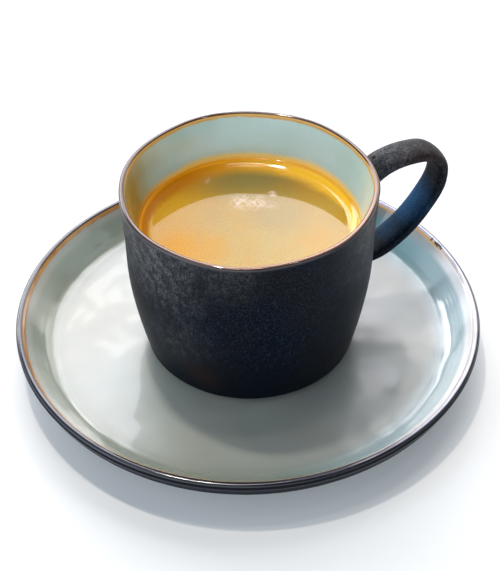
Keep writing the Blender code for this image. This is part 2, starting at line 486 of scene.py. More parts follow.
@dataclass(frozen=True)
class CupInside(Finish):
    """The glossy celadon glaze inside the cup, stained where the drink has stood, with painted
    shade on its left side and painted light from the coffee above the drink.
    """

    pale: Colour = tint(184, 207, 207)
    green: Colour = tint(168, 194, 189)
    # Olive: fine mottle, and painted shade with light bounced from the coffee on the left wall.
    olive_mottle_and_shade: Colour = tint(142, 124, 62)
    # Film above the drink: partly stain, partly painted light bounced from the coffee.
    stain_and_bounce_glow: Colour = tint(252, 206, 98)
    # Darker film for the painted shade on the left.
    stain_in_shade: Colour = tint(198, 134, 40)
    # Contact band just above the drink: partly stain, partly painted light.
    contact_with_painted_light: Colour = tint(252, 190, 70)
    # Darker contact band for the painted shade on the left.
    contact_in_shade: Colour = tint(190, 122, 26)
    notch: Colour = tint(34, 22, 16)
    level: float = 0.0481
    film_from: float = 0.0010
    film_to: float = 0.0034
    film_swing: float = 0.0036
    contact_from: float = 0.0001
    contact_to: float = 0.0012
    # The left wall's spot: painted shade with light from the coffee, over a stain.
    stain_and_shade: tuple[Spot, ...] = ()
    rim: RimBreak = RimBreak()
    marks: tuple[Spot, ...] = ()

    def material(self) -> bpy.types.Material:
        """Build the material.

        Returns:
            The finished material.
        """
        material, wire, shader, place = self.start()
        whole = wire.vector("ADD", place, self.centre)
        edge = self.edge(wire)
        clouds = wire.noise(place, 42, 2, 0.5)
        fine = wire.noise(place, 900, 3, 0.6)
        height = wire.split(place)[2]
        rings = wire.noise(wire.vector("MULTIPLY", place, (0.12, 0.12, 1.0)), 520, 2)
        # Painted shade on the left: olive glaze and a darker film, over a stain.
        stain_and_shade = self.marked(wire, whole, self.stain_and_shade, clouds)
        # The film and the contact band above the drink: partly stain, partly painted light bounced
        # from the coffee.
        above = wire.math("SUBTRACT", height, self.level)
        shaky = wire.shaken(above, clouds, self.film_swing)
        film = wire.mix(stain_and_shade, self.stain_and_bounce_glow, self.stain_in_shade)
        contact_with_painted_light = wire.mix(stain_and_shade, self.contact_with_painted_light, self.contact_in_shade)
        glaze = wire.painted(
            self.pale, (wire.span(clouds, 0.35, 0.70), self.green),
            (wire.span(rings, 0.35, 0.75, 0.0, 0.20), self.green),
            (wire.span(fine, 0.35, 0.75, 0.0, 0.05), self.olive_mottle_and_shade), (stain_and_shade, self.olive_mottle_and_shade),
            (wire.span(shaky, self.film_from, self.film_to, 0.92, 0.0), film),
            (wire.span(above, self.contact_from, self.contact_to, 0.9, 0.0), contact_with_painted_light))
        heading = wire.vector("NORMALIZE", place)
        colour = self.rim.colour(wire, heading, edge, wire.noise(place, 160, 4, 0.7), glaze)
        pits = self.marked(wire, whole, self.marks, fine, Border.CRISP)
        colour = wire.mix(pits, colour, self.notch)
        wire.fill(shader, {
            "Base Color": colour,
            "Metallic": self.rim.sheen(wire, edge),
            "Roughness": wire.span(fine, 0.2, 0.8, 0.05, 0.12),
            "Specular IOR Level": 0.8,
            "Normal": wire.bump(rings, 0.00006, 0.35, wire.bump(clouds, 0.0006, 0.30))})
        return material


@dataclass(frozen=True)
class SaucerFace(Finish):
    """The glossy celadon glaze of the saucer, pooled aqua and green in its turned-up wall; paler
    on the lower right, partly by painted light, with painted highlights near the rim on the right.
    """

    floor: Colour = tint(158, 164, 158)
    warm: Colour = tint(158, 157, 146)
    shade: Colour = tint(136, 139, 137)
    aqua: Colour = tint(96, 146, 158)
    # Paler glaze on the lower right: partly painted light where light falls on the wall.
    pale: Colour = tint(168, 192, 200)
    # Lip: a painted white highlight inside the rim on the lower right.
    lip: Colour = tint(238, 240, 244)
    green: Colour = tint(134, 143, 130)
    rust: Colour = tint(158, 104, 40)
    # Lavender: a painted highlight on the rim's crown on the right.
    lavender_highlight: Colour = tint(196, 194, 214)
    chip: Colour = tint(70, 62, 56)
    aqua_side: Place = (0.96, -0.10, 0.0)
    # Towards the paler glaze, partly painted light, and the lip's painted highlight.
    pale_lit_side: Place = (0.74, -0.67, 0.0)
    rust_side: Place = (-0.80, 0.60, 0.0)
    pool: Band = (0.004, 0.007, 0.010, 0.022)
    pool_swing: float = 0.008
    # Bands of the painted highlights: the crown's lavender, then the white inside the lip.
    crown: Band = (-0.0004, 0.0001, 0.0011, 0.0015)
    lip_highlight_band: Band = (0.0013, 0.0016, 0.0040, 0.0062)
    rust_band: Band = (0.0008, 0.0011, 0.0021, 0.0030)
    floor_from: float = 0.0115
    floor_to: float = 0.0160
    ring_turns: float = 3600.0
    ring_depth: float = 0.000006
    wave_depth: float = 0.0017
    rim: RimBreak = RimBreak(outer=tint(14, 15, 28), crest=tint(96, 92, 108),
                             crest_unlit=tint(46, 44, 58), lit_side=(0.95, -0.30, 0.0),
                             line=tint(52, 36, 32), crest_from=-0.0003, crest_to=0.0006,
                             line_to=0.0010, ochre_to=0.0018, fade_to=0.0026, wander=0.0005,
                             metal=0.10)
    marks: tuple[Spot, ...] = ()

    def material(self) -> bpy.types.Material:
        """Build the material.

        Returns:
            The finished material.
        """
        material, wire, shader, place = self.start()
        edge = self.edge(wire)
        clouds = wire.noise(place, 17, 3, 0.55)
        fine = wire.noise(place, 900, 2, 0.6)
        heading = wire.vector("NORMALIZE", place)
        to_aqua = wire.measure("DOT_PRODUCT", heading, self.aqua_side)
        to_rust = wire.measure("DOT_PRODUCT", heading, self.rust_side)
        # Towards the lower right: paler glaze, partly painted light.
        to_pale_lit = wire.measure("DOT_PRODUCT", heading, self.pale_lit_side)
        pooled = wire.painted(self.green, (wire.span(to_aqua, -0.35, 0.75), self.aqua),
                              (wire.span(to_pale_lit, 0.50, 0.95), self.pale))
        deep = wire.band(wire.shaken(edge, clouds, self.pool_swing), self.pool)
        swirl = wire.noise(wire.vector("MULTIPLY", place, (1.0, 0.45, 1.0)), 60, 3, 0.6, 1.2)
        glaze = wire.painted(self.floor, (wire.span(clouds, 0.35, 0.70), self.warm),
                             (wire.span(to_aqua, -0.55, 0.55), self.shade),
                             (wire.times(deep, 0.85), pooled),
                             (wire.span(swirl, 0.50, 0.80, 0.0, 0.18), self.green))
        uneven = wire.noise(place, 55, 4, 0.65)
        # Painted highlights: lavender on the crown to the right, white inside the lip to the lower
        # right.
        pale = wire.times(wire.band(edge, self.crown), wire.span(to_aqua, 0.15, 0.75, 0.0, 0.85))
        lip_highlight = wire.times(wire.band(edge, self.lip_highlight_band),
                            wire.span(to_pale_lit, 0.62, 0.78, 0.0, 0.9))
        rusty = wire.times(wire.band(edge, self.rust_band), wire.span(to_rust, 0.0, 0.55))
        rusty = wire.times(rusty, wire.span(uneven, 0.30, 0.55, 0.4, 1.0))
        pits = self.marked(wire, wire.vector("ADD", place, self.centre), self.marks, fine,
                           Border.CRISP)
        colour = wire.painted(self.rim.colour(wire, heading, edge, uneven, glaze),
                              (pale, self.lavender_highlight), (lip_highlight, self.lip), (rusty, self.rust),
                              (pits, self.chip))
        glossy = wire.times(wire.span(edge, self.floor_from, self.floor_to, 0.7, 0.20),
                            wire.span(edge, 0.0006, 0.0016, 0.15, 1.0))
        on_floor = wire.times(wire.span(edge, self.floor_from, self.floor_to),
                              wire.span(to_aqua, -0.2, 0.6))
        waves = wire.noise(place, 58, 1.0)
        uneven_side = wire.span(to_aqua, -0.6, 0.5, 0.55, 1.0)
        strayed = wire.math("MULTIPLY_ADD", wire.noise(place, 90, 2), 3.0,
                            wire.times(edge, self.ring_turns))
        rings = wire.times(wire.math("SINE", strayed),
                           wire.times(deep, wire.span(to_aqua, 0.3, 0.9)))
        rolling = wire.bump(wire.times(waves, uneven_side), self.wave_depth, 0.8,
                            wire.bump(rings, self.ring_depth, 1.0))
        wire.fill(shader, {
            "Base Color": colour,
            "Metallic": self.rim.sheen(wire, edge),
            "Roughness": wire.span(edge, 0.010, 0.020, 0.20, 0.31),
            "Specular IOR Level": 0.75,
            "Normal": wire.bump(swirl, 0.0002, 0.30, wire.bump(fine, 0.00001, 0.3, rolling)),
            "Coat Weight": wire.times(glossy, wire.span(on_floor, 0.0, 1.0, 1.0, 0.3)),
            "Coat IOR": 1.8,
            "Coat Roughness": 0.03,
            "Coat Normal": rolling})
        return material


@dataclass(frozen=True)
class CremaFoam(Finish):
    """The golden crema, with a ring of clear amber coffee between it and the wall, and a crescent
    of painted shade and reflection of the cup's back wall at its back.
    """

    golden: Colour = tint(188, 144, 20)
    pale: Colour = tint(184, 151, 58)
    beige: Colour = tint(162, 140, 78)
    amber: Colour = tint(208, 156, 34)
    orange: Colour = tint(222, 152, 1)
    # Painted shade and reflection of the back wall, in a crescent at the back, more orange at its
    # ends; the darker colour also marks the grain.
    crescent_shade_and_grain: Colour = tint(135, 116, 54)
    crescent_shade_edge: Colour = tint(180, 127, 22)
    clear: Colour = tint(176, 108, 1)
    clear_lit: Colour = tint(254, 196, 52)
    # Where the drink meets the wall: its colour, lightened as painted light on the shaded
    # meniscus.
    contact_with_painted_light: Colour = tint(236, 156, 26)
    # Pale froth; also a painted glint.
    froth_and_glint: Colour = tint(240, 212, 196)
    wall: float = 0.0362
    ring: float = 0.0027
    lit_side: Place = (0.97, -0.25, 0.0)
    # Where the crescent of painted shade lies, and how it fades.
    crescent_side: Place = (0.34, 0.94, 0.0)
    crescent_from: float = 0.010
    crescent_to: float = 0.024
    crescent_swing: float = 0.010
    crescent_middle: float = 0.004
    crescent_sides: float = 0.026
    amber_from: float = -0.034
    amber_to: float = 0.006
    veil_to: float = 0.018
    edge_swing: float = 0.0026
    ring_soft: float = 0.0016
    contact_width: float = 0.0010
    patches: tuple[Spot, ...] = ()
    greyed: tuple[Spot, ...] = ()
    foam: tuple[Spot, ...] = ()

    def material(self) -> bpy.types.Material:
        """Build the material.

        Returns:
            The finished material.
        """
        material, wire, shader, place = self.start()
        flat = wire.vector("MULTIPLY", place, (1.0, 1.0, 0.0))
        heading = wire.vector("NORMALIZE", flat)
        lit = wire.measure("DOT_PRODUCT", heading, self.lit_side)
        aside = wire.measure("DOT_PRODUCT", flat, self.lit_side)
        back = wire.measure("DOT_PRODUCT", flat, self.crescent_side)
        out = wire.measure("LENGTH", flat)
        across = wire.measure("DOT_PRODUCT", flat, (self.crescent_side[1], -self.crescent_side[0], 0.0))
        clouds = wire.noise(flat, 60, 4, 0.62, 0.6)
        lace = wire.noise(flat, 240, 3, 0.6, 0.5)
        grain = wire.noise(flat, 1900, 3, 0.8)
        warm = self.marked(wire, flat, self.patches, clouds)
        # The crescent of painted shade and reflection at the back, with the same colour in the
        # grain.
        crescent_shade_and_grain = wire.mix(wire.span(wire.math("ABSOLUTE", across), self.crescent_middle,
                                  self.crescent_sides), self.crescent_shade_and_grain, self.crescent_shade_edge)
        behind = wire.shaken(back, clouds, self.crescent_swing)
        foam = wire.painted(
            self.golden, (wire.span(clouds, 0.38, 0.62), self.pale),
            (self.marked(wire, flat, self.greyed, clouds), self.beige),
            (wire.span(aside, self.amber_from, self.amber_to, 0.8, 0.0), self.amber),
            (warm, self.orange),
            (wire.span(behind, self.crescent_from, self.crescent_to, 0.0, 0.95), crescent_shade_and_grain),
            (wire.span(grain, 0.46, 0.62, 0.0, 0.80), crescent_shade_and_grain))
        foam_edge = self.wall - self.ring
        on_ring = wire.span(out, foam_edge - self.ring_soft, foam_edge + self.ring_soft / 4)
        ring = wire.mix(wire.span(lit, -0.7, 0.9), self.clear, self.clear_lit)
        wobble = wire.shaken(out, lace, self.edge_swing)
        blur = wire.span(back, 0.004, 0.024, 0.0010, 0.0060)
        cleared = wire.span(wobble, wire.math("SUBTRACT", foam_edge, blur), foam_edge + 0.0006)
        # Lighter band where the drink meets the wall: painted light on the shaded meniscus.
        touching = wire.span(out, self.wall - self.contact_width, self.wall, 0.0, 0.7)
        # Froth in the given spots; the smallest is a painted glint.
        bubbles = wire.noise(flat, 620, 3, 0.65, 0.4)
        froth_and_glint = wire.times(self.marked(wire, flat, self.foam, lace),
                           wire.span(bubbles, 0.36, 0.62, 0.05, 0.85))
        colour = wire.painted(foam, (cleared, ring), (touching, self.contact_with_painted_light),
                              (froth_and_glint, self.froth_and_glint))
        dull = wire.times(wire.span(out, foam_edge - self.ring_soft, foam_edge),
                          wire.span(lit, -0.50, -0.10, 0.35, 0.0))
        wet = wire.times(on_ring, wire.span(lit, -0.45, 0.30, 0.02, 0.60))
        veil = wire.span(aside, self.amber_from, self.veil_to, 0.25, 0.50)
        veil = wire.times(veil, wire.math("MULTIPLY_ADD", warm, -0.70, 1.0))
        veil = wire.times(veil, wire.math("SUBTRACT", 1.0, on_ring))
        froth_relief = wire.times(froth_and_glint, wire.noise(flat, 900, 2, 0.6))
        wire.fill(shader, {
            "Base Color": colour,
            "Roughness": wire.plus(wire.span(clouds, 0.3, 0.7, 0.04, 0.08), dull),
            "Specular IOR Level": 0.05,
            "Normal": wire.bump(froth_relief, 0.0004, 0.8, wire.bump(grain, 0.00003, 0.30)),
            "Coat Weight": wire.plus(wet, veil),
            "Coat IOR": 1.7,
            "Coat Roughness": 0.035,
            "Subsurface Weight": 0.2,
            "Subsurface Radius": (0.0030, 0.0014, 0.0005),
            "Subsurface Scale": 1.0})
        return material


@dataclass(frozen=True)
class BlackCoffee(Finish):
    """The dark coffee under the crema."""

    dark: Colour = tint(38, 18, 8)
    lighter: Colour = tint(70, 36, 14)

    def material(self) -> bpy.types.Material:
        """Build the material.

        Returns:
            The finished material.
        """
        material, wire, shader, place = self.start()
        clouds = wire.noise(place, 60, 3, 0.6)
        wire.fill(shader, {
            "Base Color": wire.mix(wire.span(clouds, 0.35, 0.7), self.dark, self.lighter),
            "Roughness": wire.span(clouds, 0.3, 0.7, 0.06, 0.14)})
        return material


@dataclass(frozen=True)
class PaleFloor(Finish):
    """A plain pale tabletop that glows a little, so that its shadows stay light."""

    colour: Colour = (0.66, 0.66, 0.657)
    shade: float = 0.985
    glow: Colour = (0.13, 0.142, 0.157)

    def material(self) -> bpy.types.Material:
        """Build the material.

        Returns:
            The finished material.
        """
        material, wire, shader, place = self.start()
        clouds = wire.noise(place, 9, 2)
        darker = tuple(part * self.shade for part in self.colour)
        wire.fill(shader, {
            "Base Color": wire.mix(clouds, self.colour, darker),
            "Roughness": wire.span(clouds, 0.3, 0.7, 0.5, 0.6),
            "Emission Color": self.glow,
            "Emission Strength": 1.0})
        return material


def link_object(name: str, data: bpy.types.ID) -> bpy.types.Object:
    """Link a mesh, a light or a camera into the scene.

    Args:
        name: Name of the object.
        data: What it holds.

    Returns:
        The object.
    """
    made = bpy.data.objects.new(name, data)
    bpy.context.scene.collection.objects.link(made)
    return made


def read(items: bpy.types.bpy_prop_collection, name: str, width: int = 1,
         kind: type = float) -> np.ndarray:
    """Read one property of every item of a mesh.

    Args:
        items: The items, such as the mesh's vertices.
        name: The property.
        width: How many numbers it has.
        kind: Kind of number.

    Returns:
        The numbers, in rows where an item has more than one.
    """
    values = np.zeros(len(items) * width, kind)
    items.foreach_get(name, values)
    return values.reshape(-1, width) if width > 1 else values


def place_vertices(mesh: bpy.types.Mesh, points: np.ndarray) -> None:
    """Put the vertices of a mesh at new places."""
    mesh.vertices.foreach_set("co", points.ravel())
    mesh.update()


def signed_volume(mesh: bpy.types.Mesh) -> float:
    """Work out the volume that a closed mesh holds.

    Args:
        mesh: The mesh.

    Returns:
        The volume, negative if its faces point inwards.
    """
    mesh.calc_loop_triangles()
    corners = read(mesh.loop_triangles, "vertices", 3, np.int32)
    triangles = read(mesh.vertices, "co", 3)[corners]
    crosses = np.cross(triangles[:, 1], triangles[:, 2])
    return float(np.einsum("ij,ij->", triangles[:, 0], crosses)) / 6


def drop_empty_slots(mesh: bpy.types.Mesh) -> None:
    """Take out the empty material slots that stand before the used ones.

    Args:
        mesh: The mesh.
    """
    used = [material for material in mesh.materials if material]
    empty = len(mesh.materials) - len(used)
    numbers = read(mesh.polygons, "material_index", kind=np.int32)
    mesh.materials.clear()
    for material in used:
        mesh.materials.append(material)
    mesh.polygons.foreach_set("material_index", np.maximum(numbers - empty, 0))


def made_plain(maker: bpy.types.Object, name: str) -> bpy.types.Object:
    """Turn an object with live modifiers into a plain piece and remove the maker.

    Args:
        maker: The object with its modifiers.
        name: Name of the plain piece.

    Returns:
        The plain piece, with its faces outwards.
    """
    graph = bpy.context.evaluated_depsgraph_get()
    mesh = bpy.data.meshes.new_from_object(maker.evaluated_get(graph),
                                           preserve_all_data_layers=True, depsgraph=graph)
    bpy.data.objects.remove(maker)
    mesh.name = name
    drop_empty_slots(mesh)
    if signed_volume(mesh) < 0:
        mesh.flip_normals()
    return link_object(name, mesh)


@dataclass(frozen=True)
class Wave:
    """One slow wave round a rim."""

    count: int
    depth: float
    crest: float


@dataclass
class TurnedForm:
    """A round piece: a profile turned about an upright axis, uneven as handwork is."""

    name: str
    profile: list[Point]
    outside: bpy.types.Material
    inside: bpy.types.Material
    place: Place = (0.0, 0.0, 0.0)
    waves: tuple[Wave, ...] = ()
    reach: float = 0.04
    foot: float = 0.0
    rim: float = 0.06
    wave_at_foot: float = 0.15
    segments: int = 288
    relief: float = 0.0
    relief_size: float = 0.016
    split: float = -0.0012

    def inputs(self) -> tuple[tuple[str, str, object], ...]:
        """List the tree's inputs.

        Returns:
            Each input with its kind and its value, but for the profile, which has none.
        """
        return (("Profile", "Geometry", None), ("Segments", "Int", self.segments),
                ("Rows", "Int", len(self.profile)), ("Place", "Vector", self.place),
                ("Reach", "Float", self.reach), ("Foot", "Float", self.foot),
                ("Rim", "Float", self.rim), ("Wave At Foot", "Float", self.wave_at_foot),
                ("Relief", "Float", self.relief), ("Relief Size", "Float", self.relief_size),
                ("Split", "Float", self.split), ("Outside", "Material", self.outside),
                ("Inside", "Material", self.inside))

    def tree(self) -> bpy.types.NodeTree:
        """Build the Geometry Nodes tree that turns the profile.

        Returns:
            The tree.
        """
        tree = bpy.data.node_groups.new(f"turn_{self.name}", "GeometryNodeTree")
        for name, kind, _ in self.inputs():
            tree.interface.new_socket(name, in_out="INPUT", socket_type=f"NodeSocket{kind}")
        tree.interface.new_socket("Piece", in_out="OUTPUT", socket_type="NodeSocketGeometry")
        wire = Wiring(tree)
        given = wire.node("NodeGroupInput").outputs
        grid = wire.node("GeometryNodeMeshGrid", {"Vertices X": wire.plus(given["Segments"], 1.0),
                                                  "Vertices Y": given["Rows"], "Size X": 1.0,
                                                  "Size Y": 1.0})
        here = wire.node("GeometryNodeInputPosition").outputs[0]
        across, up, _ = wire.split(here)
        angle = wire.times(wire.plus(across, 0.5), math.tau)
        last = wire.math("SUBTRACT", given["Rows"], 1.0)
        row = wire.math("ROUND", wire.times(wire.plus(up, 0.5), last))
        point = self.sampled(wire, given["Profile"], row, here, "FLOAT_VECTOR")
        named = wire.node("GeometryNodeInputNamedAttribute", {"Name": EDGE},
                          data_type="FLOAT").outputs[0]
        edge = self.sampled(wire, given["Profile"], row, named, "FLOAT")
        stored = wire.node("GeometryNodeStoreNamedAttribute",
                           {"Geometry": grid.outputs[0], "Name": EDGE, "Value": edge},
                           data_type="FLOAT", domain="POINT")
        out, _, height = wire.split(point)
        share = wire.span(height, given["Foot"], given["Rim"], easing=Easing.LINEAR)
        share = wire.plus(given["Wave At Foot"],
                          wire.times(share, wire.math("SUBTRACT", 1.0, given["Wave At Foot"])))
        swing = wire.math("DIVIDE", wire.times(share, self.waviness(wire, angle)), given["Reach"])
        radius = wire.times(out, wire.plus(swing, 1.0))
        turned = wire.node("ShaderNodeCombineXYZ", {0: wire.times(radius,
                                                                  wire.math("COSINE", angle)),
                                                    1: wire.times(radius,
                                                                  wire.math("SINE", angle)),
                                                    2: height}).outputs[0]
        placed = wire.vector("ADD", turned, given["Place"])
        shaped = wire.shape("SetPosition", stored.outputs[0], Position=placed)
        closed = wire.shape("MergeByDistance", shaped, Distance=SAME_PLACE)
        fineness = wire.math("DIVIDE", 1.0, given["Relief Size"])
        lumps = wire.node("ShaderNodeTexNoise", {"Vector": here, "Scale": fineness, "Detail": 1.0})
        push = wire.times(wire.math("SUBTRACT", lumps.outputs[0], 0.5), given["Relief"])
        pushed = wire.scaled(wire.node("GeometryNodeInputNormal").outputs[0], push)
        eased = wire.shape("SetPosition", closed, Offset=pushed)
        real = wire.shape("RealizeInstances", wire.shape("SetShadeSmooth", eased))
        inner = wire.shape("SetMaterial", real, Material=given["Inside"])
        beyond = wire.node("FunctionNodeCompare", {0: named, 1: given["Split"]},
                           operation="LESS_THAN", data_type="FLOAT").outputs[0]
        outer = wire.shape("SetMaterial", inner, Selection=beyond, Material=given["Outside"])
        wire.node("NodeGroupOutput", {0: outer})
        return tree

    @staticmethod
    def sampled(wire: Wiring, source: Socket, index: Socket, value: Socket, kind: str) -> Socket:
        """Read a value of the profile at one of its points, by the point's number."""
        made = wire.node("GeometryNodeSampleIndex",
                         {"Geometry": source, "Value": value, "Index": index}, data_type=kind,
                         domain="POINT", clamp=True)
        return made.outputs[0]

    def waviness(self, wire: Wiring, angle: Socket) -> Socket:
        """How far the rim stands out at an angle.

        Args:
            wire: The tree's wiring.
            angle: Angle about the upright axis.

        Returns:
            The socket with the distance.
        """
        total: object = 0.0
        for wave in self.waves:
            turn = wire.times(wire.math("SUBTRACT", angle, math.radians(wave.crest)),
                              float(wave.count))
            total = wire.math("MULTIPLY_ADD", wire.math("COSINE", turn), wave.depth, total)
        return wire.plus(total, 0.0)

    def profile_mesh(self) -> bpy.types.Mesh:
        """The profile as a chain of points that know their way from the rim's crest.

        Returns:
            The mesh of points and edges.
        """
        count = len(self.profile)
        mesh = bpy.data.meshes.new(f"{self.name}_profile")
        mesh.from_pydata([(radius, 0.0, height) for radius, height in self.profile],
                         [(i, i + 1) for i in range(count - 1)], [])
        points = np.array(self.profile)
        way = way_along(points)
        way -= way[int(points[:, 1].argmax())]
        mesh.attributes.new(EDGE, "FLOAT", "POINT").data.foreach_set("value", way)
        return mesh

    def build(self) -> bpy.types.Object:
        """Turn the profile into a plain, closed piece.

        Returns:
            The piece.
        """
        maker = link_object(f"{self.name}_maker", self.profile_mesh())
        modifier = maker.modifiers.new("turn", "NODES")
        modifier.node_group = self.tree()
        sockets = {item.name: item.identifier
                   for item in modifier.node_group.interface.items_tree
                   if item.in_out == "INPUT"}
        for name, _, value in self.inputs():
            if value is not None:
                modifier[sockets[name]] = value
        return made_plain(maker, self.name)


@dataclass
class Strap:
    """The handle: a flat strap swept along a line in the plane of +X and +Z."""

    line: tuple[Point, ...] = ((0.0402, 0.0559), (0.0478, 0.0606), (0.0560, 0.0622),
                               (0.0640, 0.0610), (0.0685, 0.0565), (0.0689, 0.0508),
                               (0.0636, 0.0391), (0.0549, 0.0293), (0.0470, 0.0244),
                               (0.0385, 0.0232))
    width: float = 0.0116
    thickness: float = 0.0041
    rings: int = 200
    sides: int = 48
    dome: float = 2.2
    flat: float = 4.0
    flare: float = 0.12
    flare_reach: float = 0.0050

    def section(self, size: float) -> list[Point]:
        """The cross-section as (across, outwards).

        Args:
            size: Scale of the section.

        Returns:
            Its corners in order.
        """
        corners = []
        for angle in np.linspace(0.0, math.tau, self.sides, endpoint=False):
            across, out = math.cos(angle), math.sin(angle)
            power = 2 / (self.dome if out >= 0 else self.flat)
            corners.append((math.copysign(abs(across) ** power, across) * size * self.width / 2,
                            math.copysign(abs(out) ** power, out) * size * self.thickness / 2))
        return corners

    def mesh(self, place: Place) -> bpy.types.Mesh:
        """Sweep the strap.

        Args:
            place: Where the cup's axis meets the height 0 of the line.

        Returns:
            The closed mesh.
        """
        fine = np.array(through(self.line, 24))
        length = way_along(fine)
        stops = np.linspace(0.0, length[-1], self.rings)
        middle = np.stack([np.interp(stops, length, fine[:, i]) for i in (0, 1)], axis=1)
        along = np.gradient(middle, axis=0)
        along[0], along[-1] = (1.0, 0.0), (-1.0, 0.0)
        along /= np.linalg.norm(along, axis=1)[:, None]
        corners = []
        for stop, (radius, height), (run, climb) in zip(stops, middle, along):
            reach = min(stop, length[-1] - stop)
            size = 1 + self.flare * math.exp(-reach / self.flare_reach)
            corners += [(place[0] + radius - climb * out, place[1] + across,
                         place[2] + height + run * out) for across, out in self.section(size)]
        faces = []
        for ring in range(self.rings - 1):
            for side in range(self.sides):
                after = (side + 1) % self.sides
                here, there = ring * self.sides, (ring + 1) * self.sides
                faces.append((here + side, here + after, there + after, there + side))
        faces.append(tuple(range(self.sides)))
        faces.append(tuple(reversed(range((self.rings - 1) * self.sides,
                                          self.rings * self.sides))))
        mesh = bpy.data.meshes.new("strap")
        mesh.from_pydata(corners, [], faces)
        if signed_volume(mesh) < 0:
            mesh.flip_normals()
        mesh.shade_smooth()
        return mesh


def nearest(points: np.ndarray, targets: np.ndarray) -> tuple[np.ndarray, np.ndarray]:
    """Find the target nearest to each point.

    Args:
        points: The points.
        targets: The places that are searched.

    Returns:
        The number of the nearest target and the distance to it, for each point.
    """
    tree = KDTree(len(targets))
    for number, target in enumerate(targets):
        tree.insert(target, number)
    tree.balance()
    found = [tree.find(point) for point in points]
    return np.array([number for _, number, _ in found]), np.array([away for *_, away in found])


def soften(piece: bpy.types.Object, crease: np.ndarray, reach: float, rounds: int) -> None:
    """Round off a crease.

    Args:
        piece: The piece.
        crease: The places of the crease.
        reach: How far from the crease the surface is eased.
        rounds: Number of passes.
    """
    mesh = piece.data
    pairs = read(mesh.edges, "vertices", 2, np.int32)
    points = read(mesh.vertices, "co", 3)
    ease = np.clip(1 - nearest(points, crease)[1] / reach, 0.0, 1.0)[:, None] ** 1.5
    degree = np.bincount(pairs.ravel(), minlength=len(points))[:, None]
    for _ in range(rounds):
        total = np.zeros_like(points)
        np.add.at(total, pairs[:, 0], points[pairs[:, 1]])
        np.add.at(total, pairs[:, 1], points[pairs[:, 0]])
        points += 0.6 * ease * (total / degree - points)
    place_vertices(mesh, points)


def dent(piece: bpy.types.Object, marks: tuple[Spot, ...]) -> None:
    """Press small pits and chips into a surface.

    Args:
        piece: The piece.
        marks: The pits, with their depths.
    """
    mesh = piece.data
    points = read(mesh.vertices, "co", 3)
    normals = read(mesh.vertex_normals, "vector", 3)
    for mark in marks:
        away = np.linalg.norm(points - np.array(mark.place), axis=1) / mark.radius
        press = np.clip(1 - away ** 2, 0.0, 1.0)[:, None] ** 1.5
        points -= normals * press * mark.depth
    place_vertices(mesh, points)


def join_solids(first: bpy.types.Object,
                second: bpy.types.Object) -> tuple[bpy.types.Object, np.ndarray]:
    """Join two overlapping closed pieces into one closed piece.

    Args:
        first: The piece that keeps its name, its finishes and its edge attribute.
        second: The piece joined to it, which is used up and lies far outside the rim.

    Returns:
        The joined piece, and the places of the crease where the two meet.
    """
    name = first.name
    body = read(first.data.vertices, "co", 3)
    values = read(first.data.attributes[EDGE].data, "value")
    added = read(second.data.vertices, "co", 3)
    union = first.modifiers.new("join", "BOOLEAN")
    union.operation = "UNION"
    union.solver = "EXACT"
    union.object = second
    joined = made_plain(first, name)
    bpy.data.objects.remove(second)
    joined.name = name
    points = read(joined.data.vertices, "co", 3)
    number, off_body = nearest(points, body)
    off_added = nearest(points, added)[1]
    edge = np.where(off_body < SAME_PLACE, values[number], FAR_OUTSIDE)
    joined.data.attributes[EDGE].data.foreach_set("value", edge)
    crease = points[(off_body > SAME_PLACE) & (off_added > SAME_PLACE)]
    return joined, crease


def settle(piece: bpy.types.Object, slot: str, *nodes: str) -> None:
    """Let a piece ride on the body and stand for its nodes.

    Args:
        piece: The finished piece.
        slot: The record's material slot; not used.
        nodes: The nodes that it stands for.
    """
    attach(piece, BODY)
    if nodes:
        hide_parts(*nodes)
    LOG.info("%s: %d faces", piece.name, len(piece.data.polygons))


CUP_WAVES = (Wave(1, 0.00019, 141), Wave(2, 0.00016, 58), Wave(3, 0.00016, -12),
             Wave(4, 0.00008, -17), Wave(7, 0.00022, 88))
SAUCER_WAVES = (Wave(2, 0.00010, -10), Wave(3, 0.00006, 14), Wave(4, 0.00020, -35))


